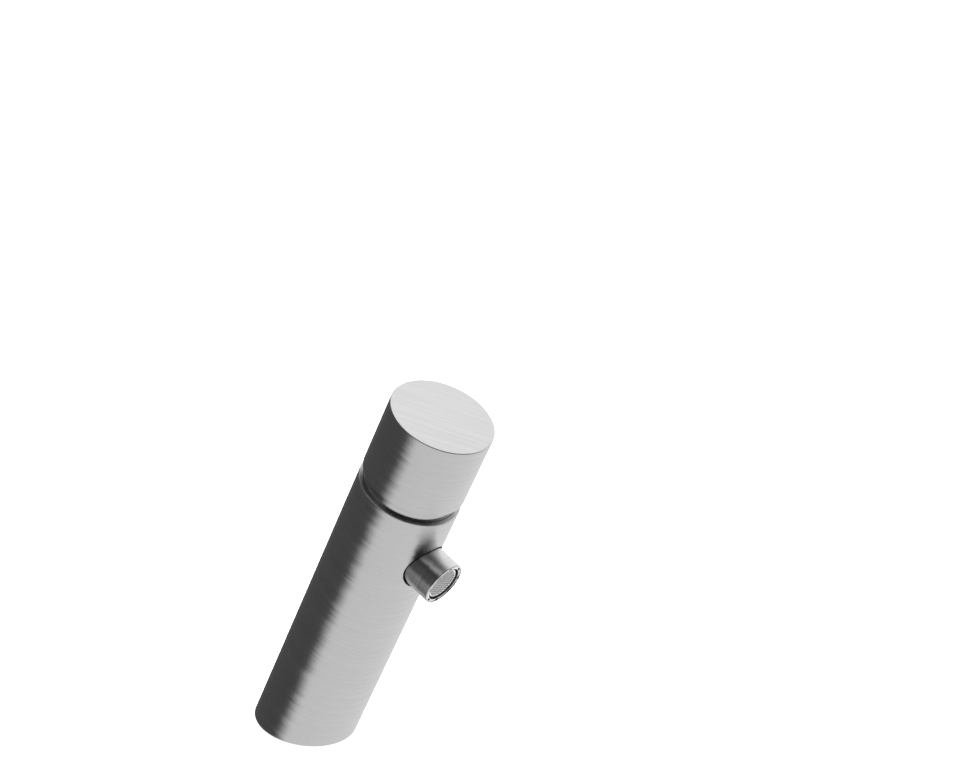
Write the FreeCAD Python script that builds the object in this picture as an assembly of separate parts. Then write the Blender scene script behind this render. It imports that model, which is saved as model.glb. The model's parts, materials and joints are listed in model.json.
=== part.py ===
"""Single-hole basin mixer: a leaning cylinder with a stub spout and a turning handle of the same diameter.

Millimetres. The deck's top face is the plane z = 0, and the body's axis meets it at the origin. +Z points
up, and the body leans towards -Y, over the basin, where its spout points. Every piece of the body is first
made upright, with the body's axis on Z and the spout along -Y, and then leans about X. The fixing below the
deck is made upright and stays so.
"""

import FreeCAD
import Part
import math
import os

V = FreeCAD.Vector

# Outer form
LEAN = 18.0                  # degrees between the body's axis and the vertical
BODY_DIAMETER = 45.0
BODY_WALL = 1.0
RIM_HEIGHT = 142.6           # along the body's axis, from the deck to the body's upper rim
GROOVE_HEIGHT = 5.1          # between the body's rim and the handle's lower edge
HANDLE_HEIGHT = 34.3
HANDLE_WALL = 2.5
HANDLE_TOP = 4.0             # thickness of the handle's top
EDGE_BREAK = 0.4             # radius of the rim's, the handle's and the spout's outer edges
NECK_RECESS = 2.0            # how far the neck in the groove lies inside the body's outer face
NECK_GAP = 0.15              # open gap between the neck and the rim's lip
TURN_RANGE = 100.0           # degrees from closed to fully open and hot

# Spout and aerator
SPOUT_DIAMETER = 20.0
SPOUT_DROP = 25.9            # the spout's axis below the body's rim, along the body's axis
SPOUT_REACH = 33.6           # from the body's axis to the spout's face
SPOUT_SEAM = 0.6             # open seam between the spout and the hole in the body
SEAM_DEPTH = 3.0             # how far the seam goes on into the valve block
SEAM_RELIEF = 0.9            # how much wider the seam is inside the valve block
SPOUT_BORE = 12.0
SPOUT_SHOULDER = 17.5        # from the body's axis to the seat of the spout's shoulder
NIPPLE_DIAMETER = 17.0
NIPPLE_LENGTH = 4.0
AERATOR_DIAMETER = 18.5
AERATOR_DEPTH = 12.4         # depth of the aerator's chamber
AERATOR_INSET = 0.25         # the cage's front below the spout's face
CAGE_WALL = 1.2
CAGE_KEYS = 8                # notches in the cage's front, for its key
KEY_WIDTH = 2.0
KEY_DEPTH = 2.2
KEY_WALL = 0.35              # wall left between a notch and the cage's bore
INSERT_INSET = 1.0           # the jet disc's front below the spout's face
INSERT_RING_GAP = 0.75       # open gap round the jet disc
INSERT_RIM = 0.55
INSERT_THICKNESS = 3.0
RIB_PITCH = 1.08
RIB_SLOT = 0.6
RIB_SLOT_DEPTH = 1.6
CROSS_PITCH = 2.0            # between the cross slots in the jet disc's back
RIB_TURN = 24.0              # degrees that the ribs run down to the right, seen from the front
LEDGE = 1.4                  # inner ledge of the cage that carries the jet disc
REGULATOR_THICKNESS = 2.6
REGULATOR_SLOTS = 6
REGULATOR_SLOT_WIDTH = 1.1
REGULATOR_SLOT_LENGTH = 3.6
REGULATOR_SLOT_R = 4.5       # from the spout's axis to the middle of a slot
SCREEN_THICKNESS = 0.8
SCREEN_HOLE = 0.9
SCREEN_PITCH = 1.9
AERATOR_SEAL_THICKNESS = 1.6

# Cartridge and valve block
CARTRIDGE_DIAMETER = 26.0
CARTRIDGE_WALL = 2.2
CARTRIDGE_FLOOR = 11.0       # the cartridge's seat below the spout's axis
PORT_DIAMETER = 4.4
BASE_FLANGE = 1.5
BASE_THICKNESS = 5.0
BASE_SEAL_HEIGHT = 0.3       # how far the port seals stand proud of the cartridge's base
PORT_SEAL_WALL = 0.8
PORT_SEAL_DEPTH = 1.2
FIXED_DISC_THICKNESS = 3.0
MOVING_DISC_THICKNESS = 4.0
CHAMBER_DEPTH = 2.0
COLD_OPENS = 8.0             # degrees of the handle's turn at which each port opens or is shut again
COLD_SHUTS = 95.0
HOT_OPENS = 55.0
CARRIER_THICKNESS = 3.6
SPINDLE_FLANGE = 3.0
SPINDLE_FLANGE_DIAMETER = 16.0
SPINDLE_DIAMETER = 8.5
SPINDLE_FLAT = 0.8           # depth of the flat that the grub screw bears on
TANG_WIDTH = 5.0
TANG_LENGTH = 12.0
TANG_DEPTH = 2.2
HOUSING_ROOF = 2.5
HOUSING_FLANGE = 3.0
HOUSING_FLANGE_LIP = 1.5     # how far the flange stands out of the housing
HOUSING_NECK_DIAMETER = 19.0
HOUSING_NECK = 3.0
WINDOW_WIDTH = 9.0
WINDOW_HEIGHT = 6.4
WINDOWS = 4
O_RING = 1.2                 # section of the small O-rings
SPOUT_O_RING = 1.4
STOP_RING_THICKNESS = 2.3
STOP_WALL = 1.3
STOP_LUG_ANGLE = 30.0        # degrees that the stop ring's lug spans
STOP_SLACK = 0.6             # degrees left at each end of the travel
NUT_THREAD_LENGTH = 4.6
NUT_WALL = 3.2
NUT_COLLAR = 2.4
NUT_COLLAR_LIP = 1.3
NUT_SLOTS = 6
NUT_SLOT_WIDTH = 3.0
BLOCK_COLLAR_WALL = 1.8
BLOCK_COLLAR = 5.5           # height of the block's collar above its shoulder
BLOCK_SHOULDER = 12.0        # the block's shoulder above the spout's axis
BLOCK_BELOW = 24.0           # the block's lower face below the spout's axis
GLIDE_RING_DROP = 4.5        # the glide ring's top below the body's rim

# Handle insert
SKIRT_WALL = 1.6
SKIRT_DEPTH = 7.0            # the skirt's lower edge below the body's rim
INSERT_THREAD = 6.0          # height of the thread that joins shell and insert
HUB_DIAMETER = 18.0
SPINDLE_END_GAP = 1.0        # the spindle's end below the top of the hub
GRUB_DIAMETER = 5.0
GRUB_SOCKET = 2.5
GRUB_SOCKET_DEPTH = 2.4
KEY_HOLE_DIAMETER = 4.4      # hole in the skirt for the grub screw's key

# Base and supply pipes
GASKET_THICKNESS = 2.0
SHADOW_GAP = 0.6             # the body's lower edge above the deck
BASE_BLOCK_HEIGHT = 30.0     # along the body's axis
INLET_X = 7.0                # each inlet's distance from the middle
INLET_Y = -5.0
INLET_DIAMETER = 9.0
INLET_DEPTH = 11.0
HOSE_CLEARANCE = 1.5         # room in the gasket round each hose end
RISER_DIAMETER = 8.0
RISER_WALL = 1.0
RISER_SOCKET = 8.0
RISER_O_RING = 1.6

# Fixing below the deck
DECK_THICKNESS = 20.0
DECK_HOLE_DIAMETER = 35.0
STUD_DIAMETER = 8.0
STUD_Y = 10.0
STUD_GRIP = 14.0             # length of the stud in the base block
STUD_BELOW = 60.0            # the stud's end below the deck's top face
CLAMP_OVERLAP = 6.5          # how far the clamp reaches past the deck's hole
PAD_THICKNESS = 3.0
WASHER_THICKNESS = 2.0
MOUTH_WIDTH = 30.0           # the horseshoe's mouth, for the hoses
MOUTH_STUD_WALL = 3.0        # material between the mouth and the stud's hole
NUT_FLATS = 13.0
NUT_HEIGHT = 8.0

# Clearances
FIT = 0.05                   # radial clearance of pieces that fit in one another
RUNNING = 0.05               # radial clearance of pieces that turn in one another
FILM = 0.02                  # gap between faces that slide on one another
LOOSE = 0.25                 # radial clearance of bolts in through holes
SLIP = 0.1                   # side clearance of tangs and keys in their slots
OVERCUT = 1.0

# Radii that several pieces share
BODY_R = BODY_DIAMETER / 2
BORE_R = BODY_R - BODY_WALL
NECK_R = BODY_R - NECK_RECESS
SPOUT_R = SPOUT_DIAMETER / 2
NIPPLE_R = NIPPLE_DIAMETER / 2
AERATOR_R = AERATOR_DIAMETER / 2
CAGE_R = AERATOR_R - FIT
CAGE_IN_R = CAGE_R - CAGE_WALL
JET_R = CAGE_IN_R - INSERT_RING_GAP
CARTRIDGE_R = CARTRIDGE_DIAMETER / 2
CHAMBER_R = CARTRIDGE_R - CARTRIDGE_WALL
DISC_R = CHAMBER_R - LOOSE
PORT_R = PORT_DIAMETER / 2
SPINDLE_R = SPINDLE_DIAMETER / 2
STOP_R = HOUSING_NECK_DIAMETER / 2
FLANGE_R = CARTRIDGE_R + HOUSING_FLANGE_LIP
NUT_R = FLANGE_R + FIT
COLLAR_R = NUT_R + FIT + BLOCK_COLLAR_WALL
SKIRT_IN_R = NECK_R - SKIRT_WALL
SHELL_BORE_R = BODY_R - HANDLE_WALL
ACROSS = 2 * CARTRIDGE_DIAMETER      # takes a cut right across the cartridge
HUB_R = HUB_DIAMETER / 2
GRUB_R = GRUB_DIAMETER / 2
INLET_R = INLET_DIAMETER / 2
RISER_R = RISER_DIAMETER / 2
RISER_IN_R = RISER_R - RISER_WALL
STUD_R = STUD_DIAMETER / 2
CLAMP_R = DECK_HOLE_DIAMETER / 2 + CLAMP_OVERLAP

# Heights along the body's axis
SPOUT_Z = RIM_HEIGHT - SPOUT_DROP
HANDLE_Z = RIM_HEIGHT + GROOVE_HEIGHT
HANDLE_END_Z = HANDLE_Z + HANDLE_HEIGHT
REACH = HANDLE_END_Z         # takes a cutting tool clear of every piece
SKIRT_Z = RIM_HEIGHT - SKIRT_DEPTH
INSERT_END_Z = HANDLE_Z + INSERT_THREAD
GRUB_Z = RIM_HEIGHT + GROOVE_HEIGHT / 2
BLOCK_Z = SPOUT_Z - BLOCK_BELOW
SEAT_Z = SPOUT_Z - CARTRIDGE_FLOOR
BASE_Z = SEAT_Z + BASE_SEAL_HEIGHT
HOUSING_Z = BASE_Z + BASE_FLANGE
FIXED_DISC_Z = BASE_Z + BASE_THICKNESS
MOVING_DISC_Z = FIXED_DISC_Z + FIXED_DISC_THICKNESS + FILM
CARRIER_Z = MOVING_DISC_Z + MOVING_DISC_THICKNESS
SPINDLE_Z = CARRIER_Z + CARRIER_THICKNESS
ROOF_Z = SPINDLE_Z + SPINDLE_FLANGE + FILM
FLANGE_Z = ROOF_Z + HOUSING_ROOF
HOUSING_TOP_Z = FLANGE_Z + HOUSING_FLANGE + HOUSING_NECK
STOP_Z = HOUSING_TOP_Z + LOOSE
STOP_TOP_Z = STOP_Z + STOP_RING_THICKNESS
NUT_Z = FLANGE_Z + HOUSING_FLANGE
SHOULDER_Z = SPOUT_Z + BLOCK_SHOULDER
COLLAR_Z = SHOULDER_Z + BLOCK_COLLAR

# The pipes stand where the upright inlets end, so that the ways in the base block meet
LEAN_RAD = math.radians(LEAN)
INLET_TOP = GASKET_THICKNESS + INLET_DEPTH
PIPE_Y = INLET_Y * math.cos(LEAN_RAD) + INLET_TOP * math.sin(LEAN_RAD)
INLET_TOP_Z = INLET_TOP * math.cos(LEAN_RAD) - INLET_Y * math.sin(LEAN_RAD)
SIDES = (-1, 1)


def rod(radius, low, high, x=0.0, y=0.0):
    """A cylinder along Z."""
    return Part.makeCylinder(radius, high - low, V(x, y, low))


def sleeve(outer, inner, low, high, x=0.0, y=0.0):
    """A tube along Z."""
    return rod(outer, low, high, x, y).cut(rod(inner, low - OVERCUT, high + OVERCUT, x, y))


def cross_rod(radius, near, far, z, x=0.0):
    """A cylinder along Y, from y = near to y = far."""
    return Part.makeCylinder(radius, far - near, V(x, near, z), V(0, 1, 0))


def cross_sleeve(outer, inner, near, far, z):
    """A tube along Y."""
    return cross_rod(outer, near, far, z).cut(cross_rod(inner, near - OVERCUT, far + OVERCUT, z))


def cross_drill(radius, near, far, z):
    """A cylinder along Y, turned half round its own axis, so that its seam lies on the other side."""
    return turned_about(cross_rod(radius, near, far, z), V(0, 0, z), V(0, 1, 0), 180)


def block(width, depth, height, centre):
    """A box about a centre."""
    corner = centre - V(width / 2, depth / 2, height / 2)
    return Part.makeBox(width, depth, height, corner)


def turned(points):
    """A lathe form: a closed outline of (radius, height) points, turned about Z."""
    outline = [V(r, 0, z) for r, z in points]
    face = Part.Face(Part.makePolygon(outline + outline[:1]))
    return face.revolve(V(0, 0, 0), V(0, 0, 1), 360)


def o_ring(middle, section, x, y, z, axis=V(0, 0, 1)):
    return Part.makeTorus(middle, section / 2, V(x, y, z), axis)


def sector(outer, inner, low, high, start, sweep):
    """Part of a tube along Z, from the angle start on, in degrees from +X."""
    outline = [V(inner, 0, low), V(outer, 0, low), V(outer, 0, high), V(inner, 0, high)]
    face = Part.Face(Part.makePolygon(outline + outline[:1]))
    piece = face.revolve(V(0, 0, 0), V(0, 0, 1), sweep)
    piece.rotate(V(0, 0, 0), V(0, 0, 1), start)
    return piece


def turned_about(shape, centre, axis, angle):
    copy = shape.copy()
    copy.rotate(centre, axis, angle)
    return copy


def leaning(shape):
    """Takes a piece of the body from upright to its place."""
    return turned_about(shape, V(0, 0, 0), V(1, 0, 0), LEAN)


def rounded(shape, radius, at):
    """Rounds the circular edges for which the condition at(edge) holds."""
    edges = [edge for edge in shape.Edges if edge.Curve.TypeId == "Part::GeomCircle" and at(edge)]
    return shape.makeFillet(radius, edges)


def above(shape, level):
    """What of a shape lies above a level plane."""
    return shape.cut(Part.makeBox(2 * REACH, 2 * REACH, REACH, V(-REACH, -REACH, level - REACH)))


def hexagon(flats, low, high, x=0.0, y=0.0):
    """An upright hexagonal prism."""
    corner = flats / 2 / math.cos(math.pi / 6)
    turns = [math.radians(60 * i) for i in range(6)]
    points = [V(x + corner * math.cos(turn), y + corner * math.sin(turn), low) for turn in turns]
    return Part.Face(Part.makePolygon(points + points[:1])).extrude(V(0, 0, high - low))


def body_tube():
    """The leaning tube, cut level just above the deck. The lip inside its rim is the groove's floor."""
    foot = -REACH / 2
    lip_r = NECK_R + NECK_GAP
    lip_z = RIM_HEIGHT - GLIDE_RING_DROP
    tube = turned([
        (BORE_R, foot),
        (BODY_R, foot),
        (BODY_R, RIM_HEIGHT),
        (lip_r, RIM_HEIGHT),
        (lip_r, lip_z),
        (BORE_R, lip_z),
    ])
    middle_r = (lip_r + BODY_R) / 2
    tube = rounded(tube, EDGE_BREAK, lambda edge: edge.CenterOfMass.z > lip_z and edge.Curve.Radius > middle_r)
    hole = cross_rod(SPOUT_R + SPOUT_SEAM, -BODY_R - OVERCUT, 0, SPOUT_Z)
    return above(leaning(tube.cut(hole)), SHADOW_GAP)


def base_block():
    """The brass block in the body's foot, which takes the stud and the hoses and feeds the two pipes."""
    plug = rod(BORE_R - FIT, -REACH / 2, BASE_BLOCK_HEIGHT)
    socket_z = BASE_BLOCK_HEIGHT - RISER_SOCKET
    for side in SIDES:
        x = side * INLET_X
        plug = plug.cut(rod(RISER_R + FIT, socket_z, BASE_BLOCK_HEIGHT + OVERCUT, x, PIPE_Y))
        plug = plug.cut(rod(RISER_IN_R, INLET_TOP_Z - OVERCUT, socket_z + OVERCUT, x, PIPE_Y))
        seat_z = BASE_BLOCK_HEIGHT - RISER_O_RING
        plug = plug.cut(rod(RISER_R + RISER_O_RING + FIT, seat_z, BASE_BLOCK_HEIGHT + OVERCUT, x, PIPE_Y))
    plug = above(leaning(plug), GASKET_THICKNESS)
    for side in SIDES:
        plug = plug.cut(rod(INLET_R, 0, INLET_TOP, side * INLET_X, INLET_Y))
    return plug.cut(rod(STUD_R + FIT, 0, GASKET_THICKNESS + STUD_GRIP + OVERCUT, 0, STUD_Y))


def base_gasket():
    """The rubber gasket under the block, with holes for the hoses and the stud."""
    disc = above(leaning(rod(BORE_R - FIT, -REACH / 2, REACH / 2)), 0)
    disc = disc.cut(Part.makeBox(2 * REACH, 2 * REACH, REACH, V(-REACH, -REACH, GASKET_THICKNESS)))
    top = GASKET_THICKNESS + OVERCUT
    for side in SIDES:
        disc = disc.cut(rod(INLET_R + HOSE_CLEARANCE, -OVERCUT, top, side * INLET_X, INLET_Y))
    return disc.cut(rod(STUD_R + LOOSE, -OVERCUT, top, 0, STUD_Y))


def fixing_stud():
    stud = rod(STUD_R, -STUD_BELOW, GASKET_THICKNESS + STUD_GRIP, 0, STUD_Y)
    ends = [edge for edge in stud.Edges if edge.Curve.TypeId == "Part::GeomCircle"]
    return stud.makeChamfer(EDGE_BREAK, ends)


def horseshoe(low, high):
    """A horseshoe under the deck: a disc with a mouth for the hoses and a hole for the stud."""
    mouth_end = STUD_Y - STUD_R - LOOSE - MOUTH_STUD_WALL
    mouth_r = MOUTH_WIDTH / 2
    plate = rod(CLAMP_R, low, high)
    plate = plate.cut(rod(mouth_r, low - OVERCUT, high + OVERCUT, 0, mouth_end - mouth_r))
    straight = CLAMP_R + OVERCUT + mouth_end - mouth_r
    middle = V(0, mouth_end - mouth_r - straight / 2, (low + high) / 2)
    plate = plate.cut(block(MOUTH_WIDTH, straight, high - low + 2 * OVERCUT, middle))
    return plate.cut(rod(STUD_R + LOOSE, low - OVERCUT, high + OVERCUT, 0, STUD_Y))


def clamp_pad():
    return horseshoe(-DECK_THICKNESS - PAD_THICKNESS, -DECK_THICKNESS)


def clamp_washer():
    top = -DECK_THICKNESS - PAD_THICKNESS
    return horseshoe(top - WASHER_THICKNESS, top)


def fixing_nut():
    top = -DECK_THICKNESS - PAD_THICKNESS - WASHER_THICKNESS
    nut = hexagon(NUT_FLATS, top - NUT_HEIGHT, top, 0, STUD_Y)
    return nut.cut(rod(STUD_R + FIT, top - NUT_HEIGHT - OVERCUT, top + OVERCUT, 0, STUD_Y))


def riser(side):
    """A supply pipe between the base block and the valve block."""
    low = BASE_BLOCK_HEIGHT - RISER_SOCKET
    return leaning(sleeve(RISER_R, RISER_IN_R, low, BLOCK_Z + RISER_SOCKET, side * INLET_X, PIPE_Y))


def riser_o_rings():
    """The O-rings in the mouths of the four pipe sockets."""
    middle = RISER_R + RISER_O_RING / 2 + FIT / 2
    heights = (BASE_BLOCK_HEIGHT - RISER_O_RING / 2, BLOCK_Z + RISER_O_RING / 2)
    return Part.makeCompound([
        leaning(o_ring(middle, RISER_O_RING, side * INLET_X, PIPE_Y, z)) for side in SIDES for z in heights
    ])


def valve_block():
    """The brass block that holds the cartridge and takes the spout."""
    body = turned([
        (0, BLOCK_Z),
        (BORE_R - FIT, BLOCK_Z),
        (BORE_R - FIT, SHOULDER_Z),
        (COLLAR_R, SHOULDER_Z),
        (COLLAR_R, COLLAR_Z),
        (0, COLLAR_Z),
    ])
    body = body.cut(rod(CARTRIDGE_R + FIT, SEAT_Z, COLLAR_Z + OVERCUT))
    body = body.cut(rod(NUT_R + FIT, FLANGE_Z, COLLAR_Z + OVERCUT))
    body = body.cut(cross_rod(NIPPLE_R + FIT, -BODY_R, -CARTRIDGE_R + OVERCUT, SPOUT_Z))
    body = body.cut(cross_rod(SPOUT_R + FIT, -BODY_R, -SPOUT_SHOULDER, SPOUT_Z))
    body = body.cut(cross_rod(SPOUT_R + SPOUT_SEAM + SEAM_RELIEF, -BODY_R, SEAM_DEPTH - BORE_R, SPOUT_Z))
    low = BLOCK_Z - OVERCUT
    for side in SIDES:
        x = side * INLET_X
        body = body.cut(rod(RISER_R + FIT, low, BLOCK_Z + RISER_SOCKET, x, PIPE_Y))
        body = body.cut(rod(RISER_R + RISER_O_RING + FIT, low, BLOCK_Z + RISER_O_RING, x, PIPE_Y))
        body = body.cut(rod(PORT_R, BLOCK_Z, SEAT_Z + OVERCUT, x, PIPE_Y))
    return leaning(body)


def spout_tube():
    """The stub spout, screwed into the valve block through the hole in the body."""
    tube = cross_rod(SPOUT_R, -SPOUT_REACH, -SPOUT_SHOULDER, SPOUT_Z)
    tube = rounded(tube, EDGE_BREAK, lambda edge: edge.CenterOfMass.y < -SPOUT_REACH + FILM)
    nipple_y = -SPOUT_SHOULDER + NIPPLE_LENGTH
    tube = tube.fuse(cross_rod(NIPPLE_R, -SPOUT_SHOULDER - OVERCUT, nipple_y, SPOUT_Z)).removeSplitter()
    tube = tube.cut(cross_rod(SPOUT_BORE / 2, -SPOUT_REACH, 0, SPOUT_Z))
    tube = tube.cut(cross_rod(AERATOR_R, -SPOUT_REACH - OVERCUT, -SPOUT_REACH + AERATOR_DEPTH, SPOUT_Z))
    near = spout_groove_y()
    far = near + SPOUT_O_RING + FIT
    return leaning(tube.cut(cross_sleeve(NIPPLE_R + OVERCUT, NIPPLE_R - SPOUT_O_RING, near, far, SPOUT_Z)))


def spout_groove_y():
    """The near side of the O-ring's groove on the spout's nipple."""
    return -SPOUT_SHOULDER + NIPPLE_LENGTH - SPOUT_O_RING - OVERCUT


def spout_o_ring():
    middle = NIPPLE_R - SPOUT_O_RING / 2
    y = spout_groove_y() + SPOUT_O_RING / 2 + FIT / 2
    return leaning(o_ring(middle, SPOUT_O_RING, 0, y, SPOUT_Z, V(0, 1, 0)))


def aerator_cage():
    """The notched ring of the recessed aerator. Its inner ledge carries the jet disc."""
    front = -SPOUT_REACH + AERATOR_INSET
    back = -SPOUT_REACH + AERATOR_DEPTH - AERATOR_SEAL_THICKNESS
    cage = cross_sleeve(CAGE_R, CAGE_IN_R, front, back, SPOUT_Z)
    ledge_y = jet_disc_y() + INSERT_THICKNESS
    ledge = cross_sleeve(CAGE_R - FIT, JET_R - LEDGE, ledge_y, ledge_y + LEDGE, SPOUT_Z)
    cage = cage.fuse(ledge).removeSplitter()
    middle = V(0, front, SPOUT_Z + CAGE_IN_R + KEY_WALL + CAGE_WALL / 2)
    notch = block(KEY_WIDTH, 2 * KEY_DEPTH, CAGE_WALL, middle)
    for i in range(CAGE_KEYS):
        cage = cage.cut(turned_about(notch, V(0, 0, SPOUT_Z), V(0, 1, 0), i * 360 / CAGE_KEYS))
    return leaning(cage)


def jet_disc_y():
    return -SPOUT_REACH + INSERT_INSET


def aerator_jet_disc():
    """The ribbed disc that shows in the aerator, with a thin rim that keeps a gap to the cage."""
    front = jet_disc_y()
    disc = cross_rod(JET_R, front, front + INSERT_THICKNESS, SPOUT_Z)
    field = cross_rod(JET_R - INSERT_RIM, front - OVERCUT, front + RIB_SLOT_DEPTH, SPOUT_Z)
    rows = int(JET_R / RIB_PITCH)
    slots = [
        block(2 * JET_R, 2 * RIB_SLOT_DEPTH + OVERCUT, RIB_SLOT, V(0, front, SPOUT_Z + row * RIB_PITCH))
        for row in range(-rows, rows + 1)
    ]
    slots = turned_about(Part.makeCompound(slots), V(0, 0, SPOUT_Z), V(0, 1, 0), RIB_TURN)
    return leaning(disc.cut(field.common(slots)).cut(cross_slots(front + RIB_SLOT_DEPTH)))


def cross_slots(near):
    """The slots from the jet disc's back, square to its ribs, which open it into a grid of jets."""
    count = int((JET_R - INSERT_RIM) / CROSS_PITCH)
    far = jet_disc_y() + INSERT_THICKNESS + OVERCUT
    slots = [
        block(RIB_SLOT, far - near + SLIP, 2 * JET_R, V(i * CROSS_PITCH, (near + far - SLIP) / 2, SPOUT_Z))
        for i in range(-count, count + 1)
    ]
    field = cross_rod(JET_R - 2 * INSERT_RIM, near - SLIP, far, SPOUT_Z)
    return field.common(turned_about(Part.makeCompound(slots), V(0, 0, SPOUT_Z), V(0, 1, 0), RIB_TURN))


def flow_regulator():
    """The regulator behind the jet disc: a disc with a star of slots round a core."""
    near = jet_disc_y() + INSERT_THICKNESS + LEDGE
    disc = cross_rod(CAGE_IN_R - FIT, near, near + REGULATOR_THICKNESS, SPOUT_Z)
    middle = V(0, near + REGULATOR_THICKNESS / 2, SPOUT_Z + REGULATOR_SLOT_R)
    slot = block(REGULATOR_SLOT_WIDTH, REGULATOR_THICKNESS + 2 * OVERCUT, REGULATOR_SLOT_LENGTH, middle)
    for i in range(REGULATOR_SLOTS):
        disc = disc.cut(turned_about(slot, V(0, 0, SPOUT_Z), V(0, 1, 0), i * 360 / REGULATOR_SLOTS))
    return leaning(disc)


def inlet_screen():
    """The strainer at the aerator's back, a perforated disc."""
    far = -SPOUT_REACH + AERATOR_DEPTH - AERATOR_SEAL_THICKNESS
    near = far - SCREEN_THICKNESS
    disc = cross_rod(CAGE_IN_R - FIT, near, far, SPOUT_Z)
    rows = int((SPOUT_BORE / 2 - SCREEN_HOLE) / SCREEN_PITCH)
    places = [i * SCREEN_PITCH for i in range(-rows, rows + 1)]
    holes = [
        cross_rod(SCREEN_HOLE / 2, near - OVERCUT, far + OVERCUT, SPOUT_Z + height, across)
        for across in places
        for height in places
    ]
    return leaning(disc.cut(Part.makeCompound(holes)))


def aerator_seal():
    far = -SPOUT_REACH + AERATOR_DEPTH
    return leaning(cross_sleeve(CAGE_R, SPOUT_BORE / 2, far - AERATOR_SEAL_THICKNESS, far, SPOUT_Z))


def cartridge_base():
    """The cartridge's floor, with a port and a seal groove for each supply."""
    plug = rod(CHAMBER_R - FIT, BASE_Z, FIXED_DISC_Z)
    base = rod(CARTRIDGE_R, BASE_Z, HOUSING_Z).fuse(plug).removeSplitter()
    low = BASE_Z - OVERCUT
    for side in SIDES:
        x = side * INLET_X
        base = base.cut(rod(PORT_R, low, FIXED_DISC_Z + OVERCUT, x, PIPE_Y))
        base = base.cut(rod(PORT_R + PORT_SEAL_WALL + FIT, low, BASE_Z + PORT_SEAL_DEPTH, x, PIPE_Y))
    return leaning(base)


def port_seals():
    outer = PORT_R + PORT_SEAL_WALL
    top = BASE_Z + PORT_SEAL_DEPTH
    return Part.makeCompound([
        leaning(sleeve(outer, PORT_R, SEAT_Z, top, side * INLET_X, PIPE_Y)) for side in SIDES
    ])


def fixed_disc():
    """The fixed ceramic disc, with the two supply ports."""
    disc = rod(DISC_R, FIXED_DISC_Z, FIXED_DISC_Z + FIXED_DISC_THICKNESS)
    for side in SIDES:
        disc = disc.cut(rod(PORT_R, FIXED_DISC_Z - OVERCUT, MOVING_DISC_Z, side * INLET_X, PIPE_Y))
    return leaning(disc)


def disc_chamber(side, opens, shuts):
    """A chamber under the moving disc, open to its rim. It uncovers a port over part of the handle's turn."""
    port = math.degrees(math.atan2(PIPE_Y, side * INLET_X))
    half = math.degrees(math.asin(PORT_R / math.hypot(PIPE_Y, INLET_X)))
    start = port + half - shuts
    end = port - half - opens
    low = MOVING_DISC_Z - OVERCUT
    roof = MOVING_DISC_Z + CHAMBER_DEPTH
    return sector(DISC_R + OVERCUT, INLET_X - PORT_R, low, roof, start, end - start)


def moving_disc():
    """The turning ceramic disc. It opens the cold port first, then mixes, and ends on the hot port."""
    port_width = 2 * math.degrees(math.asin(PORT_R / math.hypot(PIPE_Y, INLET_X)))
    disc = rod(DISC_R, MOVING_DISC_Z, CARRIER_Z)
    disc = disc.cut(disc_chamber(1, COLD_OPENS, COLD_SHUTS))
    disc = disc.cut(disc_chamber(-1, HOT_OPENS, TURN_RANGE + port_width))
    slot = tang(TANG_WIDTH + 2 * SLIP, ACROSS, CARRIER_Z - TANG_DEPTH / 2, CARRIER_Z + OVERCUT)
    return leaning(disc.cut(slot))


def tang(width, length, low, high):
    """A flat driving tang across the axis."""
    return block(length, width, high - low, V(0, 0, (low + high) / 2))


def disc_carrier():
    """The plastic carrier that turns the moving disc: a tang below, and a slot above for the spindle."""
    disc = rod(DISC_R, CARRIER_Z, SPINDLE_Z)
    below = tang(TANG_WIDTH, ACROSS, CARRIER_Z - TANG_DEPTH / 2 + SLIP, CARRIER_Z + OVERCUT)
    disc = disc.fuse(below.common(rod(DISC_R, CARRIER_Z - TANG_DEPTH, SPINDLE_Z))).removeSplitter()
    slot = tang(TANG_WIDTH + 2 * SLIP, TANG_LENGTH + 2 * SLIP, SPINDLE_Z - TANG_DEPTH, SPINDLE_Z + OVERCUT)
    return leaning(disc.cut(slot))


def spindle_groove_z():
    """The lower side of the O-ring's groove on the spindle."""
    return ROOF_Z + HOUSING_ROOF / 2


def spindle():
    """The brass spindle between the disc carrier and the handle, with a flat for the grub screw."""
    stem = rod(SPINDLE_FLANGE_DIAMETER / 2, SPINDLE_Z, SPINDLE_Z + SPINDLE_FLANGE)
    stem = stem.fuse(rod(SPINDLE_R, SPINDLE_Z, INSERT_END_Z - SPINDLE_END_GAP)).removeSplitter()
    foot = tang(TANG_WIDTH, TANG_LENGTH, SPINDLE_Z - TANG_DEPTH + SLIP, SPINDLE_Z + OVERCUT)
    stem = stem.fuse(foot).removeSplitter()
    low = spindle_groove_z()
    stem = stem.cut(sleeve(SPINDLE_R + OVERCUT, SPINDLE_R - O_RING, low, low + O_RING + FIT))
    middle = V(0, SPINDLE_R - SPINDLE_FLAT + SPINDLE_R, GRUB_Z)
    return leaning(stem.cut(block(2 * SPINDLE_DIAMETER, SPINDLE_DIAMETER, 2 * GRUB_DIAMETER, middle)))


def spindle_o_ring():
    middle = SPINDLE_R - O_RING / 2
    return leaning(o_ring(middle, O_RING, 0, 0, spindle_groove_z() + O_RING / 2 + FIT / 2))


def housing_groove_z():
    """The lower side of the O-ring's groove in the housing's roof, above the bore for the spout."""
    return FLANGE_Z - HOUSING_ROOF / 2 - O_RING / 2


def stop_wall():
    """The arc on the housing's top that the stop ring's lug turns between."""
    opening = TURN_RANGE + STOP_LUG_ANGLE + 2 * STOP_SLACK
    low = HOUSING_TOP_Z - OVERCUT
    top = STOP_TOP_Z - LOOSE
    return sector(STOP_R, STOP_R - STOP_WALL, low, top, opening - STOP_SLACK, 360 - opening)


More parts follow.
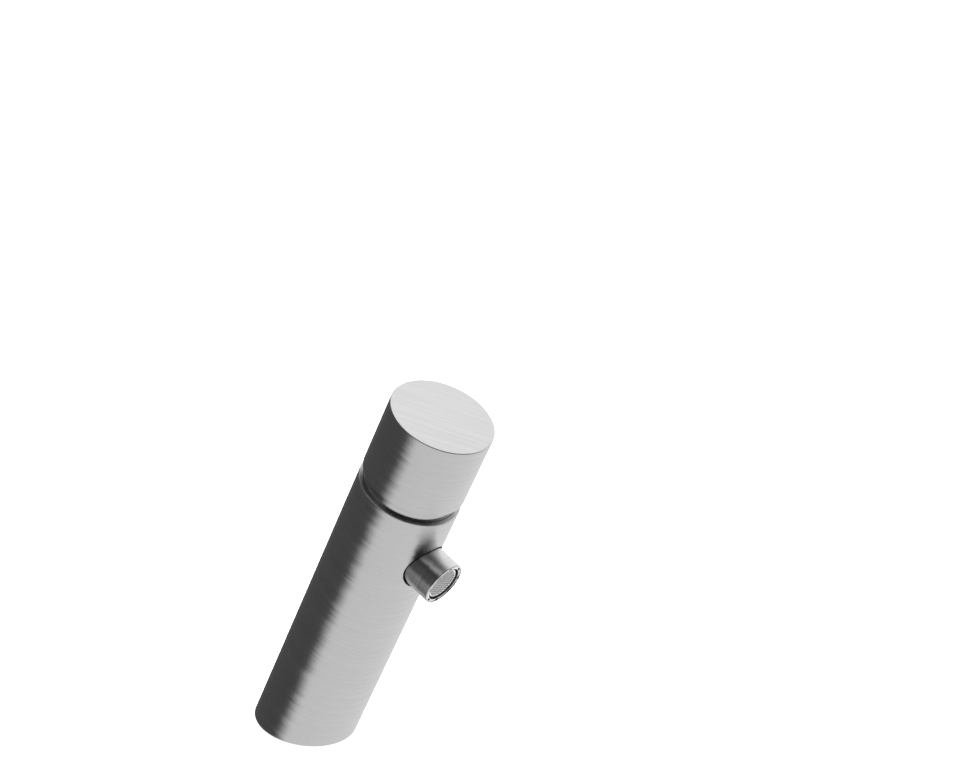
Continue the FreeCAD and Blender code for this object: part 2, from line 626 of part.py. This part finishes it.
def cartridge_housing():
    """The cartridge's housing: a cup upside down over the discs, with outlet windows and a neck."""
    cup = turned([
        (CHAMBER_R, HOUSING_Z),
        (CARTRIDGE_R, HOUSING_Z),
        (CARTRIDGE_R, FLANGE_Z),
        (FLANGE_R, FLANGE_Z),
        (FLANGE_R, NUT_Z),
        (STOP_R, NUT_Z),
        (STOP_R, HOUSING_TOP_Z),
        (SPINDLE_R + RUNNING, HOUSING_TOP_Z),
        (SPINDLE_R + RUNNING, ROOF_Z),
        (CHAMBER_R, ROOF_Z),
    ])
    window = block(WINDOW_WIDTH, ACROSS, WINDOW_HEIGHT, V(0, 0, SPOUT_Z))
    for i in range(WINDOWS // 2):
        cup = cup.cut(turned_about(window, V(0, 0, 0), V(0, 0, 1), i * 360 / WINDOWS))
    low = housing_groove_z()
    cup = cup.cut(sleeve(CARTRIDGE_R + OVERCUT, CARTRIDGE_R - O_RING, low, low + O_RING + FIT))
    return leaning(cup.fuse(stop_wall()).removeSplitter())


def housing_o_ring():
    middle = CARTRIDGE_R - O_RING / 2
    return leaning(o_ring(middle, O_RING, 0, 0, housing_groove_z() + O_RING / 2 + FIT / 2))


def stop_ring():
    """The ring that limits the travel. It sits on the spindle, and its lug meets the housing's arc."""
    ring = sleeve(STOP_R - STOP_WALL - LOOSE, SPINDLE_R + FIT, STOP_Z, STOP_TOP_Z)
    lug = sector(STOP_R, SPINDLE_R + 2 * FIT, STOP_Z, STOP_TOP_Z, 0, STOP_LUG_ANGLE)
    return leaning(ring.fuse(lug).removeSplitter())


def cartridge_nut():
    """The slotted nut that holds the cartridge down in the valve block."""
    top = max(NUT_Z + NUT_THREAD_LENGTH, COLLAR_Z + LOOSE)
    nut = turned([
        (NUT_R - NUT_WALL, NUT_Z),
        (NUT_R, NUT_Z),
        (NUT_R, top),
        (NUT_R + NUT_COLLAR_LIP, top),
        (NUT_R + NUT_COLLAR_LIP, top + NUT_COLLAR),
        (NUT_R - NUT_WALL, top + NUT_COLLAR),
    ])
    slot = block(NUT_SLOT_WIDTH, ACROSS, NUT_COLLAR, V(0, 0, top + NUT_COLLAR))
    for i in range(NUT_SLOTS // 2):
        nut = nut.cut(turned_about(slot, V(0, 0, 0), V(0, 0, 1), i * 360 / NUT_SLOTS))
    return leaning(nut)


def glide_ring():
    """The plastic ring between the body and the handle's skirt, standing on the valve block's shoulder."""
    return leaning(sleeve(BORE_R - FIT, NECK_R + RUNNING, SHOULDER_Z, RIM_HEIGHT - GLIDE_RING_DROP))


def handle_shell():
    """The turned handle: a cap of the body's diameter, open below."""
    shell = turned([
        (SHELL_BORE_R, HANDLE_Z),
        (BODY_R, HANDLE_Z),
        (BODY_R, HANDLE_END_Z),
        (0, HANDLE_END_Z),
        (0, HANDLE_END_Z - HANDLE_TOP),
        (SHELL_BORE_R, HANDLE_END_Z - HANDLE_TOP),
    ])
    return leaning(rounded(shell, EDGE_BREAK, lambda edge: edge.Curve.Radius > SHELL_BORE_R + FILM))


def handle_insert():
    """The insert screwed into the shell: the neck that shows in the groove, its skirt, and a hub."""
    insert = turned([
        (SPINDLE_R + FIT, STOP_TOP_Z + LOOSE),
        (HUB_R, STOP_TOP_Z + LOOSE),
        (HUB_R, HANDLE_Z),
        (SKIRT_IN_R, HANDLE_Z),
        (SKIRT_IN_R, SKIRT_Z),
        (NECK_R, SKIRT_Z),
        (NECK_R, HANDLE_Z),
        (SHELL_BORE_R - FIT, HANDLE_Z),
        (SHELL_BORE_R - FIT, INSERT_END_Z),
        (SPINDLE_R + FIT, INSERT_END_Z),
    ])
    insert = insert.cut(cross_drill(GRUB_R + FIT, SPINDLE_R / 2, HUB_R + OVERCUT, GRUB_Z))
    return leaning(insert.cut(cross_drill(KEY_HOLE_DIAMETER / 2, HUB_R + OVERCUT, BODY_R, GRUB_Z)))


def grub_screw():
    """The socket grub screw that holds the handle's hub on the spindle's flat."""
    tip = SPINDLE_R - SPINDLE_FLAT
    screw = cross_rod(GRUB_R, tip, HUB_R, GRUB_Z)
    socket = hexagon(GRUB_SOCKET, 0, GRUB_SOCKET_DEPTH + OVERCUT)
    socket.rotate(V(0, 0, 0), V(1, 0, 0), 90)
    socket.translate(V(0, HUB_R + OVERCUT, GRUB_Z))
    return leaning(screw.cut(socket))


PIECES = {
    "body_tube": body_tube,
    "base_block": base_block,
    "base_gasket": base_gasket,
    "fixing_stud": fixing_stud,
    "clamp_pad": clamp_pad,
    "clamp_washer": clamp_washer,
    "fixing_nut": fixing_nut,
    "hot_riser": lambda: riser(-1),
    "cold_riser": lambda: riser(1),
    "riser_o_rings": riser_o_rings,
    "valve_block": valve_block,
    "spout_tube": spout_tube,
    "spout_o_ring": spout_o_ring,
    "aerator_cage": aerator_cage,
    "aerator_jet_disc": aerator_jet_disc,
    "flow_regulator": flow_regulator,
    "inlet_screen": inlet_screen,
    "aerator_seal": aerator_seal,
    "cartridge_base": cartridge_base,
    "port_seals": port_seals,
    "fixed_disc": fixed_disc,
    "moving_disc": moving_disc,
    "disc_carrier": disc_carrier,
    "spindle": spindle,
    "spindle_o_ring": spindle_o_ring,
    "cartridge_housing": cartridge_housing,
    "housing_o_ring": housing_o_ring,
    "stop_ring": stop_ring,
    "cartridge_nut": cartridge_nut,
    "glide_ring": glide_ring,
    "handle_shell": handle_shell,
    "handle_insert": handle_insert,
    "grub_screw": grub_screw,
}


def main():
    os.makedirs("parts", exist_ok=True)
    for name, make in PIECES.items():
        shape = make()
        if not shape.isValid():
            print("not valid:", name)
        print(name, len(shape.Solids), "solid", round(shape.Volume, 2), "mm3")
        shape.exportStep(os.path.join("parts", name + ".step"))


main()
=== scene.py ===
"""Basin mixer: finishes, floor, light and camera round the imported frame. Metres, in the frame's axes."""

import json
import math

import bpy
from mathutils import Matrix, Vector

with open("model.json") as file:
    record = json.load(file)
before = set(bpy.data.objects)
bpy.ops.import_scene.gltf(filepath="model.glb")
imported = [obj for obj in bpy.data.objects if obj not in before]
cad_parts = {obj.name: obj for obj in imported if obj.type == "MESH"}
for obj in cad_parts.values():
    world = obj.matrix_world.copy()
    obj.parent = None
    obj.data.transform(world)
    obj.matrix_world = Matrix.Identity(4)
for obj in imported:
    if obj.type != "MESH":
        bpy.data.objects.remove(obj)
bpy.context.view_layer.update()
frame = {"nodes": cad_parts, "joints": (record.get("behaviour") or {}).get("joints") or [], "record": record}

# The body's axis, from the handle's joint, and what follows from it
AXIS = Vector(frame["joints"][0]["axis"]).normalized()
LEAN = math.atan2(-AXIS.y, AXIS.z)
SPOUT_AXIS = Vector((0, -math.cos(LEAN), -math.sin(LEAN)))
SPOUT_Z = 0.1167                       # the spout's axis above the deck, along the body's axis
SPOUT_FOOT = AXIS * SPOUT_Z

# Camera
CAMERA_PLACE = (-0.5912, -0.52163, 0.52276)
CAMERA_AZIMUTH = 52.78                 # degrees from +Y towards +X that it looks along
CAMERA_PITCH = 23.91                   # degrees below the horizon
CAMERA_ROLL = 7.65                     # degrees
FOCAL_PIXELS = 2068.2
FRAME_WIDTH = 960
SENSOR = 36.0                          # mm

# Floor, and soft lights: place, side and watts
FLOOR_HALF = 3.0
FLOOR_GLOW = 0.75
SOFTBOXES = {
    "TopSoftbox": ((0.3, 0.2, 1.6), 1.8, 55.0),
    "FrontSoftbox": ((-0.9, -1.2, 1.3), 1.4, 26.0),
}
LIGHT_TARGET = (0, 0, 0.05)

# Steel: the brushed lines' pitch round and along an axis, fine and coarse, in cycles a metre
SIDE_LINES = ((42.0, 1300.0), (24.0, 430.0))
END_LINES = ((34.0, 1300.0), (22.0, 620.0))
TOP_LINES = -50.0                      # degrees from +X that the brushed lines on the handle's top run at
END_ROUGHNESS = 0.6                    # of the side's
END_SWING = 0.65                       # of the side's unevenness
PAINTED_SHADE = 0.06                        # of the steel's tone, painted shade in the spout's bore, inside the body and at the edge of the body's hole
GRAIN = 900.0                          # of moulded and machined pieces, in cycles a metre
RELIEF = 0.0001                        # height of the finest relief

# Where the aerator's and the spout's finishes and painted shade change
JET_FIELD_R = 0.0067                   # radius of the ribbed field inside the jet disc's rim
CAGE_BAND_R = 0.0082                   # the plated band of the cage's front lies outside it; inside it the front is painted near-black, as painted shade in the gap
SPOUT_BORE_R = 0.0093                  # radius that holds the whole of the spout's bore
SPOUT_SHADE_REACH = 0.0331              # the bore is painted near-black, as painted shade, up to this far from the body's axis
BODY_SIDE_R = 0.0222                   # what of the spout lies within it is inside the body
SEAM_R = 0.0116                        # the valve block is painted near-black and not metallic round the spout, within this radius, as painted shade in the seam
HOLE_EDGE_R = 0.01078                  # within it the edge of the body's hole for the spout is painted near-black, as painted shade

# Surroundings that the steel mirrors: brightness round the body's axis, by the share of a turn from
# straight behind, past the left, with the camera at a half, and past the right. The body's side mirrors
# the low bands. Each other set takes over from one height to the next, as the part of a direction that
# points down the axis for the under bands, and up it for the rest.
UNDER_RISE = (0.78, 1.0)
MIDDLE_RISE = (-0.42, -0.02)
HIGH_RISE = (0.3, 0.6)
CAP_RISE = (0.66, 0.86)
LOW_BANDS = (
    (0.0, 0.10),
    (0.30, 0.075),
    (0.345, 0.10),
    (0.415, 1.06),
    (0.60, 1.10),
    (0.84, 1.07),
    (0.93, 0.98),
    (0.97, 0.76),
    (1.0, 0.12),
)
UNDER_BANDS = (
    (0.0, 0.06),
    (0.36, 0.06),
    (0.42, 0.84),
    (0.95, 0.82),
    (1.0, 0.10),
)
MIDDLE_BANDS = (
    (0.0, 1.32),
    (0.05, 1.05),
    (0.10, 0.30),
    (0.16, 0.10),
    (0.30, 0.11),
    (0.345, 0.10),
    (0.45, 0.03),
    (0.62, 0.03),
    (0.72, 0.15),
    (0.79, 0.50),
    (0.86, 0.90),
    (0.93, 1.20),
    (1.0, 1.32),
)
HIGH_BANDS = (
    (0.0, 1.20),
    (0.04, 0.95),
    (0.09, 0.20),
    (0.14, 0.07),
    (0.28, 0.05),
    (0.345, 0.085),
    (0.40, 0.004),
    (0.62, 0.004),
    (0.72, 0.12),
    (0.79, 0.50),
    (0.86, 0.90),
    (0.93, 1.10),
    (1.0, 1.20),
)
CAP_BANDS = (
    (0.0, 1.15),
    (0.05, 0.92),
    (0.10, 0.85),
    (0.26, 0.90),
    (0.34, 0.50),
    (0.41, 0.17),
    (0.64, 0.17),
    (0.72, 0.22),
    (0.82, 0.60),
    (0.90, 1.10),
    (1.0, 1.15),
)


def set_input(node, name, value):
    """Sets a node's input to a constant."""
    node.inputs[name].default_value = value


def link(tree, source, output, target, name):
    """Joins a node's named output to another's named input."""
    tree.links.new(source.outputs[output], target.inputs[name])


def new_material(name):
    """An empty node material with a Principled shader."""
    material = bpy.data.materials.new(name)
    material.use_nodes = True
    tree = material.node_tree
    shader = tree.nodes["Principled BSDF"]
    return material, tree, shader


def math_node(tree, operation, first, second=None):
    """A Math node on sockets or numbers. Returns its output."""
    node = tree.nodes.new("ShaderNodeMath")
    node.operation = operation
    for index, value in enumerate((first, second)):
        if value is None:
            continue
        if isinstance(value, (int, float)):
            node.inputs[index].default_value = value
        else:
            tree.links.new(value, node.inputs[index])
    return node.outputs[0]


def vector_node(tree, operation, first, second=None):
    """A Vector Math node on sockets or fixed vectors. Returns the node."""
    node = tree.nodes.new("ShaderNodeVectorMath")
    node.operation = operation
    for index, value in enumerate((first, second)):
        if value is None:
            continue
        if isinstance(value, (tuple, Vector)):
            node.inputs[index].default_value = tuple(value)
        else:
            tree.links.new(value, node.inputs[index])
    return node


def object_place(tree):
    """The shaded point's place on its piece."""
    return tree.nodes.new("ShaderNodeTexCoord").outputs["Object"]


def axis_frame(tree, foot, axis):
    """The shaded point's place from a foot on an axis, its height along it, and the tangent round it."""
    offset = vector_node(tree, "SUBTRACT", object_place(tree), foot).outputs["Vector"]
    height = vector_node(tree, "DOT_PRODUCT", offset, axis).outputs["Value"]
    round_axis = vector_node(tree, "CROSS_PRODUCT", axis, offset)
    tangent = vector_node(tree, "NORMALIZE", round_axis.outputs["Vector"]).outputs["Vector"]
    return offset, height, tangent


def distance(tree, offset, axis):
    """How far a place is from an axis."""
    aside = vector_node(tree, "CROSS_PRODUCT", offset, axis)
    return vector_node(tree, "LENGTH", aside.outputs["Vector"]).outputs["Value"]


def noise(tree, vector, scale, detail=3.0, roughness=0.6):
    """Noise of 0 to 1 at a place."""
    node = tree.nodes.new("ShaderNodeTexNoise")
    set_input(node, "Scale", scale)
    set_input(node, "Detail", detail)
    set_input(node, "Roughness", roughness)
    tree.links.new(vector, node.inputs["Vector"])
    return node.outputs["Fac"]


def remap(tree, value, low, high):
    """The middle half of a noise taken to low to high."""
    node = tree.nodes.new("ShaderNodeMapRange")
    set_input(node, "From Min", 0.25)
    set_input(node, "From Max", 0.75)
    set_input(node, "To Min", low)
    set_input(node, "To Max", high)
    tree.links.new(value, node.inputs["Value"])
    return node.outputs["Result"]


def stretched_lines(tree, offset, height, axis, around, along):
    """Noise drawn out round an axis: slow round it, and fast along it, in cycles a metre."""
    along_part = vector_node(tree, "SCALE", axis)
    tree.links.new(math_node(tree, "MULTIPLY", height, along - around), along_part.inputs["Scale"])
    slow = vector_node(tree, "SCALE", offset)
    slow.inputs["Scale"].default_value = around
    return vector_node(tree, "ADD", slow.outputs["Vector"], along_part.outputs["Vector"]).outputs["Vector"]


def remap_all(tree, value, low, high):
    """A switch of 0 or 1 taken to low or high."""
    return math_node(tree, "ADD", math_node(tree, "MULTIPLY", value, high - low), low)


def even_out(tree, value, share):
    """A noise brought nearer to its middle, down to a share of its swing."""
    swing = math_node(tree, "MULTIPLY", math_node(tree, "SUBTRACT", value, 0.5), share)
    return math_node(tree, "ADD", swing, 0.5)


def as_grey(tree, shader, value):
    """A value as the base colour's grey."""
    colour = tree.nodes.new("ShaderNodeCombineColor")
    for name in ("Red", "Green", "Blue"):
        tree.links.new(value, colour.inputs[name])
    link(tree, colour, "Color", shader, "Base Color")


def add_bump(tree, shader, value, strength):
    """Fine relief from a value. Returns its node."""
    bump = tree.nodes.new("ShaderNodeBump")
    set_input(bump, "Strength", strength)
    set_input(bump, "Distance", RELIEF)
    tree.links.new(value, bump.inputs["Height"])
    link(tree, bump, "Normal", shader, "Normal")
    return bump


def brushed(name, foot, axis, base=(0.525, 0.68), roughness=(0.25, 0.33), anisotropy=0.93, sway=0.3,
            flat_end=False, shaded_inside=False, shaded_hole_edge=False):
    """Brushed steel with its lines round an axis, and straight lines on a flat end where asked.

    Each line tilts the surface a little to its side, which frays the edges of what the steel mirrors.
    The spout's steel is painted near-black in its bore, and where it goes into the body, as painted shade.
    The body's hole for it has an edge painted near-black, as painted shade.
    """
    material, tree, shader = new_material(name)
    set_input(shader, "Metallic", 1.0)
    set_input(shader, "Anisotropic", anisotropy)
    offset, height, around = axis_frame(tree, tuple(foot), tuple(axis))
    normal = tree.nodes.new("ShaderNodeNewGeometry").outputs["Normal"]
    lines, coarse = (stretched_lines(tree, offset, height, tuple(axis), *pitch) for pitch in SIDE_LINES)
    if flat_end:
        turn = math.radians(TOP_LINES)
        run = Vector((1, 0, 0)) * math.cos(turn) + AXIS.cross(Vector((1, 0, 0))) * math.sin(turn)
        side = AXIS.cross(run).normalized()
        end = vector_node(tree, "DOT_PRODUCT", normal, tuple(axis)).outputs["Value"]
        is_end = math_node(tree, "GREATER_THAN", end, 0.9)
        straight = vector_node(tree, "DOT_PRODUCT", offset, tuple(side)).outputs["Value"]
        ends = [stretched_lines(tree, offset, straight, tuple(side), *pitch) for pitch in END_LINES]
        lines = mix_vector(tree, is_end, lines, ends[0])
        coarse = mix_vector(tree, is_end, coarse, ends[1])
        around = mix_vector(tree, is_end, around, tuple(run))
    around = as_posed(tree, around)
    fine = noise(tree, lines, 1.0, 3.0)
    broad = noise(tree, coarse, 1.0, 3.0)
    both = math_node(tree, "MULTIPLY", math_node(tree, "ADD", fine, broad), 0.5)
    if flat_end:
        both = even_out(tree, both, remap_all(tree, is_end, 1.0, END_SWING))
    grey = remap(tree, both, *base)
    # Painted shade: a near-black tone in the spout's bore and where the spout lies inside the body
    if shaded_inside:
        narrow = math_node(tree, "LESS_THAN", distance(tree, offset, axis), SPOUT_BORE_R)
        deep = math_node(tree, "LESS_THAN", height, SPOUT_SHADE_REACH)
        in_bore = math_node(tree, "MULTIPLY", narrow, deep)
        in_body = math_node(tree, "LESS_THAN", distance(tree, object_place(tree), AXIS), BODY_SIDE_R)
        inside = math_node(tree, "MAXIMUM", in_bore, in_body)
        grey = math_node(tree, "MULTIPLY", grey, remap_all(tree, inside, 1.0, PAINTED_SHADE))
    # Painted shade: a near-black ring painted on the body round the spout's hole
    if shaded_hole_edge:
        out, reach = axis_frame(tree, tuple(SPOUT_FOOT), tuple(SPOUT_AXIS))[:2]
        near = math_node(tree, "LESS_THAN", distance(tree, out, SPOUT_AXIS), HOLE_EDGE_R)
        edge = math_node(tree, "MULTIPLY", near, math_node(tree, "GREATER_THAN", reach, 0.0))
        grey = math_node(tree, "MULTIPLY", grey, remap_all(tree, edge, 1.0, PAINTED_SHADE))
    as_grey(tree, shader, grey)
    rough = remap(tree, both, *roughness)
    if flat_end:
        rough = math_node(tree, "MULTIPLY", rough, remap_all(tree, is_end, 1.0, END_ROUGHNESS))
    tree.links.new(rough, shader.inputs["Roughness"])
    across = vector_node(tree, "CROSS_PRODUCT", normal, around).outputs["Vector"]
    tree.links.new(across, shader.inputs["Tangent"])
    tilt = vector_node(tree, "SCALE", around)
    slant = math_node(tree, "MULTIPLY", math_node(tree, "SUBTRACT", both, 0.5), sway)
    tree.links.new(slant, tilt.inputs["Scale"])
    tilted = vector_node(tree, "ADD", normal, tilt.outputs["Vector"])
    swayed = vector_node(tree, "NORMALIZE", tilted.outputs["Vector"]).outputs["Vector"]
    bump = add_bump(tree, shader, fine, 0.06)
    tree.links.new(swayed, bump.inputs["Normal"])
    return material


def as_posed(tree, vector):
    """A direction of the piece at rest, turned with it to where the piece stands in its pose."""
    node = tree.nodes.new("ShaderNodeVectorTransform")
    node.vector_type = "VECTOR"
    node.convert_from = "OBJECT"
    node.convert_to = "WORLD"
    tree.links.new(vector, node.inputs["Vector"])
    return node.outputs["Vector"]


def mix_vector(tree, factor, first, second):
    """Two vectors mixed, each a socket or fixed."""
    node = tree.nodes.new("ShaderNodeMix")
    node.data_type = "VECTOR"
    tree.links.new(factor, node.inputs["Factor"])
    for socket, value in ((node.inputs[4], first), (node.inputs[5], second)):
        if isinstance(value, tuple):
            socket.default_value = value
        else:
            tree.links.new(value, socket)
    return node.outputs[1]


def grained(name, colour, roughness, metallic=0.0, scale=GRAIN, spread=0.12, bump=0.1):
    """A moulded or machined finish: a colour with fine uneven grain in tone, roughness and relief."""
    material, tree, shader = new_material(name)
    set_input(shader, "Metallic", metallic)
    grain = noise(tree, object_place(tree), scale, 4.0)
    low = tuple(c * (1 - spread) for c in colour) + (1.0,)
    high = tuple(min(1.0, c * (1 + spread)) for c in colour) + (1.0,)
    mix = tree.nodes.new("ShaderNodeMix")
    mix.data_type = "RGBA"
    mix.inputs[6].default_value = low
    mix.inputs[7].default_value = high
    tree.links.new(grain, mix.inputs["Factor"])
    tree.links.new(mix.outputs[2], shader.inputs["Base Color"])
    rough = remap(tree, grain, roughness * 0.85, roughness * 1.15)
    tree.links.new(rough, shader.inputs["Roughness"])
    add_bump(tree, shader, grain, bump)
    return material


def moulded(name, front, shaded_walls, band, band_r, roughness, plated=False):
    """A piece of the aerator: its front's tone inside and outside a radius, and its walls' tone, a
    near-black painted shade in the slots and gaps.
    """
    material, tree, shader = new_material(name)
    offset = axis_frame(tree, tuple(SPOUT_FOOT), tuple(SPOUT_AXIS))[0]
    is_band = math_node(tree, "GREATER_THAN", distance(tree, offset, SPOUT_AXIS), band_r)
    normal = tree.nodes.new("ShaderNodeNewGeometry").outputs["Normal"]
    faces_out = vector_node(tree, "DOT_PRODUCT", normal, tuple(SPOUT_AXIS)).outputs["Value"]
    is_front = math_node(tree, "GREATER_THAN", faces_out, 0.7)
    # Painted shade: the walls take a near-black tone
    above_walls = remap_all(tree, is_band, front - shaded_walls, band - shaded_walls)
    tone = math_node(tree, "ADD", math_node(tree, "MULTIPLY", is_front, above_walls), shaded_walls)
    grain = noise(tree, object_place(tree), GRAIN, 4.0)
    as_grey(tree, shader, math_node(tree, "MULTIPLY", tone, remap(tree, grain, 0.92, 1.08)))
    if plated:
        tree.links.new(math_node(tree, "MULTIPLY", is_front, is_band), shader.inputs["Metallic"])
    tree.links.new(remap(tree, grain, roughness * 0.85, roughness * 1.15), shader.inputs["Roughness"])
    add_bump(tree, shader, grain, 0.08)
    return material


def seam_shaded_brass():
    """Machined brass, painted near-black and not metallic round the spout, as painted shade in the seam."""
    material, tree, shader = new_material("Brass")
    offset = axis_frame(tree, tuple(SPOUT_FOOT), tuple(SPOUT_AXIS))[0]
    # Painted shade: the brass round the spout is painted near-black and not metallic
    beyond_seam = math_node(tree, "GREATER_THAN", distance(tree, offset, SPOUT_AXIS), SEAM_R)
    grain = noise(tree, object_place(tree), GRAIN, 4.0)
    shade = math_node(tree, "MULTIPLY", remap_all(tree, beyond_seam, 0.02, 1.0), remap(tree, grain, 0.9, 1.1))
    colour = tree.nodes.new("ShaderNodeCombineColor")
    for name, level in (("Red", 0.62), ("Green", 0.49), ("Blue", 0.27)):
        tree.links.new(math_node(tree, "MULTIPLY", shade, level), colour.inputs[name])
    link(tree, colour, "Color", shader, "Base Color")
    tree.links.new(beyond_seam, shader.inputs["Metallic"])
    tree.links.new(remap(tree, grain, 0.3, 0.45), shader.inputs["Roughness"])
    add_bump(tree, shader, grain, 0.1)
    return material


def finish_nodes():
    """Gives every node of the frame its finish, by the record's slots."""
    body = brushed("BrushedBody", (0, 0, 0), AXIS, shaded_hole_edge=True)
    handle = brushed("BrushedHandle", (0, 0, 0), AXIS, flat_end=True)
    spout = brushed("BrushedSpout", SPOUT_FOOT, SPOUT_AXIS, roughness=(0.23, 0.29), sway=0.2,
                    shaded_inside=True)
    # Painted shade: the neck's turned steel has a darker grey than the body's, for the shade under the
    # handle's overhang
    neck = brushed("TurnedNeckShaded", (0, 0, 0), AXIS, (0.43, 0.49), (0.12, 0.18), anisotropy=0.3, sway=0.1)
    finishes = {
        "brushed_body": body,
        "brushed_handle": handle,
        "brushed_spout": spout,
        "neck_steel": neck,
        "brass_block": seam_shaded_brass(),
        "brass_nut": grained("BrassNut", (0.80, 0.65, 0.36), 0.28, 1.0),
        "brass_spindle": grained("BrassSpindle", (0.80, 0.66, 0.40), 0.22, 1.0),
        "zinc_steel": grained("ZincSteel", (0.66, 0.67, 0.68), 0.3, 1.0),
        "pipe_steel": grained("PipeSteel", (0.64, 0.64, 0.63), 0.3, 1.0),
        "screen_steel": grained("ScreenSteel", (0.6, 0.6, 0.6), 0.35, 1.0),
        "black_rubber": grained("BlackRubber", (0.03, 0.03, 0.03), 0.7, 0.0, 1500.0, 0.3, 0.25),
        "seal_rubber": grained("SealRubber", (0.02, 0.02, 0.02), 0.5, 0.0, 1500.0, 0.3, 0.15),
        # Painted shade: the cage's walls and its front inside the band are near-black, for the gap round the
        # jet disc
        "aerator_chrome": moulded("AeratorCage", 0.02, 0.02, 0.76, CAGE_BAND_R, 0.2, plated=True),
        # Painted shade: the jet disc's slot walls are near-black
        "jet_plastic": moulded("AeratorJets", 0.42, 0.03, 0.50, JET_FIELD_R, 0.42),
        "regulator_plastic": grained("Regulator", (0.5, 0.5, 0.5), 0.45),
        "cartridge_plastic": grained("CartridgePlastic", (0.82, 0.82, 0.80), 0.4),
        "stop_plastic": grained("StopPlastic", (0.55, 0.08, 0.06), 0.4),
        "glide_plastic": grained("GlidePlastic", (0.02, 0.02, 0.02), 0.45),
        "white_ceramic": grained("Ceramic", (0.93, 0.93, 0.91), 0.15, 0.0, 1200.0, 0.03, 0.03),
    }
    slots = {row["node"]: row["material_slot"] for row in frame["record"]["subparts"]}
    for name, piece in frame["nodes"].items():
        finish = finishes[slots[name]]
        for index in range(len(piece.material_slots)):
            piece.material_slots[index].material = finish


def pale_floor():
    """The plain pale floor that the mixer stands on."""
    mesh = bpy.data.meshes.new("Floor")
    corners = [(x * FLOOR_HALF, y * FLOOR_HALF, 0) for x, y in ((-1, -1), (1, -1), (1, 1), (-1, 1))]
    mesh.from_pydata(corners, [], [(0, 1, 2, 3)])
    floor = bpy.data.objects.new("Floor", mesh)
    bpy.context.collection.objects.link(floor)
    white = grained("PaleFloor", (0.86, 0.86, 0.86), 0.6, 0.0, 40.0, 0.01, 0.01)
    glow = white.node_tree.nodes["Principled BSDF"]
    set_input(glow, "Emission Color", (1, 1, 1, 1))
    set_input(glow, "Emission Strength", FLOOR_GLOW)
    floor.data.materials.append(white)
    floor.visible_glossy = False


def studio_light():
    """Soft light from above and from the front. The steel mirrors the surroundings, and not these."""
    for name, (place, size, power) in SOFTBOXES.items():
        light = bpy.data.lights.new(name, "AREA")
        light.shape = "SQUARE"
        light.size = size
        light.energy = power
        lamp = bpy.data.objects.new(name, light)
        lamp.location = place
        aim = Vector(LIGHT_TARGET) - Vector(place)
        lamp.rotation_euler = aim.to_track_quat("-Z", "Y").to_euler()
        lamp.visible_glossy = False
        bpy.context.collection.objects.link(lamp)


def band_ramp(tree, share, bands):
    """Brightness by the share of a turn round the body's axis. The first band is at 0 and the last at 1."""
    ramp = tree.nodes.new("ShaderNodeValToRGB")
    tree.links.new(share, ramp.inputs["Fac"])
    stops = ramp.color_ramp.elements
    for stop, (position, tone) in zip((stops[0], stops[1]), (bands[0], bands[-1])):
        stop.position = position
        stop.color = (tone,) * 3 + (1,)
    for position, tone in bands[1:-1]:
        stops.new(position).color = (tone,) * 3 + (1,)
    return ramp.outputs["Color"]


def rise(tree, value, low, high):
    """0 below low, 1 above high, and smooth between."""
    node = tree.nodes.new("ShaderNodeMapRange")
    node.interpolation_type = "SMOOTHSTEP"
    set_input(node, "From Min", low)
    set_input(node, "From Max", high)
    tree.links.new(value, node.inputs["Value"])
    return node.outputs["Result"]


def mix_tone(tree, factor, first, second):
    """Two brightnesses mixed."""
    node = tree.nodes.new("ShaderNodeMix")
    node.data_type = "RGBA"
    tree.links.new(factor, node.inputs["Factor"])
    tree.links.new(first, node.inputs[6])
    tree.links.new(second, node.inputs[7])
    return node.outputs[2]


def surroundings():
    """The studio that the steel mirrors: dark on the body's left, bright on its right, above and behind."""
    world = bpy.data.worlds.new("Studio")
    bpy.context.scene.world = world
    world.use_nodes = True
    tree = world.node_tree
    background = tree.nodes["Background"]
    direction = tree.nodes.new("ShaderNodeTexCoord").outputs["Generated"]
    azimuth = math.radians(CAMERA_AZIMUTH)
    camera_side = Vector((-math.sin(azimuth), -math.cos(azimuth), 0))
    front = (camera_side - AXIS * camera_side.dot(AXIS)).normalized()
    right = AXIS.cross(front).normalized()
    ahead = vector_node(tree, "DOT_PRODUCT", direction, tuple(front)).outputs["Value"]
    aside = vector_node(tree, "DOT_PRODUCT", direction, tuple(right)).outputs["Value"]
    height = vector_node(tree, "DOT_PRODUCT", direction, tuple(AXIS)).outputs["Value"]
    turn = math_node(tree, "MULTIPLY", math_node(tree, "ARCTAN2", aside, ahead), 1 / (2 * math.pi))
    share = math_node(tree, "ADD", turn, 0.5)
    depth = math_node(tree, "MULTIPLY", height, -1.0)
    tone = band_ramp(tree, share, LOW_BANDS)
    for along, (start, end), bands in (
        (depth, UNDER_RISE, UNDER_BANDS),
        (height, MIDDLE_RISE, MIDDLE_BANDS),
        (height, HIGH_RISE, HIGH_BANDS),
        (height, CAP_RISE, CAP_BANDS),
    ):
        tone = mix_tone(tree, rise(tree, along, start, end), tone, band_ramp(tree, share, bands))
    tree.links.new(tone, background.inputs["Color"])
    set_input(background, "Strength", 1.0)


def camera():
    """The camera of the photo."""
    data = bpy.data.cameras.new("Camera")
    data.sensor_width = SENSOR
    data.lens = FOCAL_PIXELS * SENSOR / FRAME_WIDTH
    eye = bpy.data.objects.new("Camera", data)
    azimuth, pitch, roll = (math.radians(a) for a in (CAMERA_AZIMUTH, CAMERA_PITCH, CAMERA_ROLL))
    turn = Matrix.Rotation(-azimuth, 4, "Z")
    turn = turn @ Matrix.Rotation(math.pi / 2 - pitch, 4, "X") @ Matrix.Rotation(roll, 4, "Z")
    eye.matrix_world = Matrix.Translation(CAMERA_PLACE) @ turn
    bpy.context.collection.objects.link(eye)
    bpy.context.scene.camera = eye


finish_nodes()
pale_floor()
studio_light()
surroundings()
camera()
bpy.context.scene.view_settings.view_transform = "Standard"
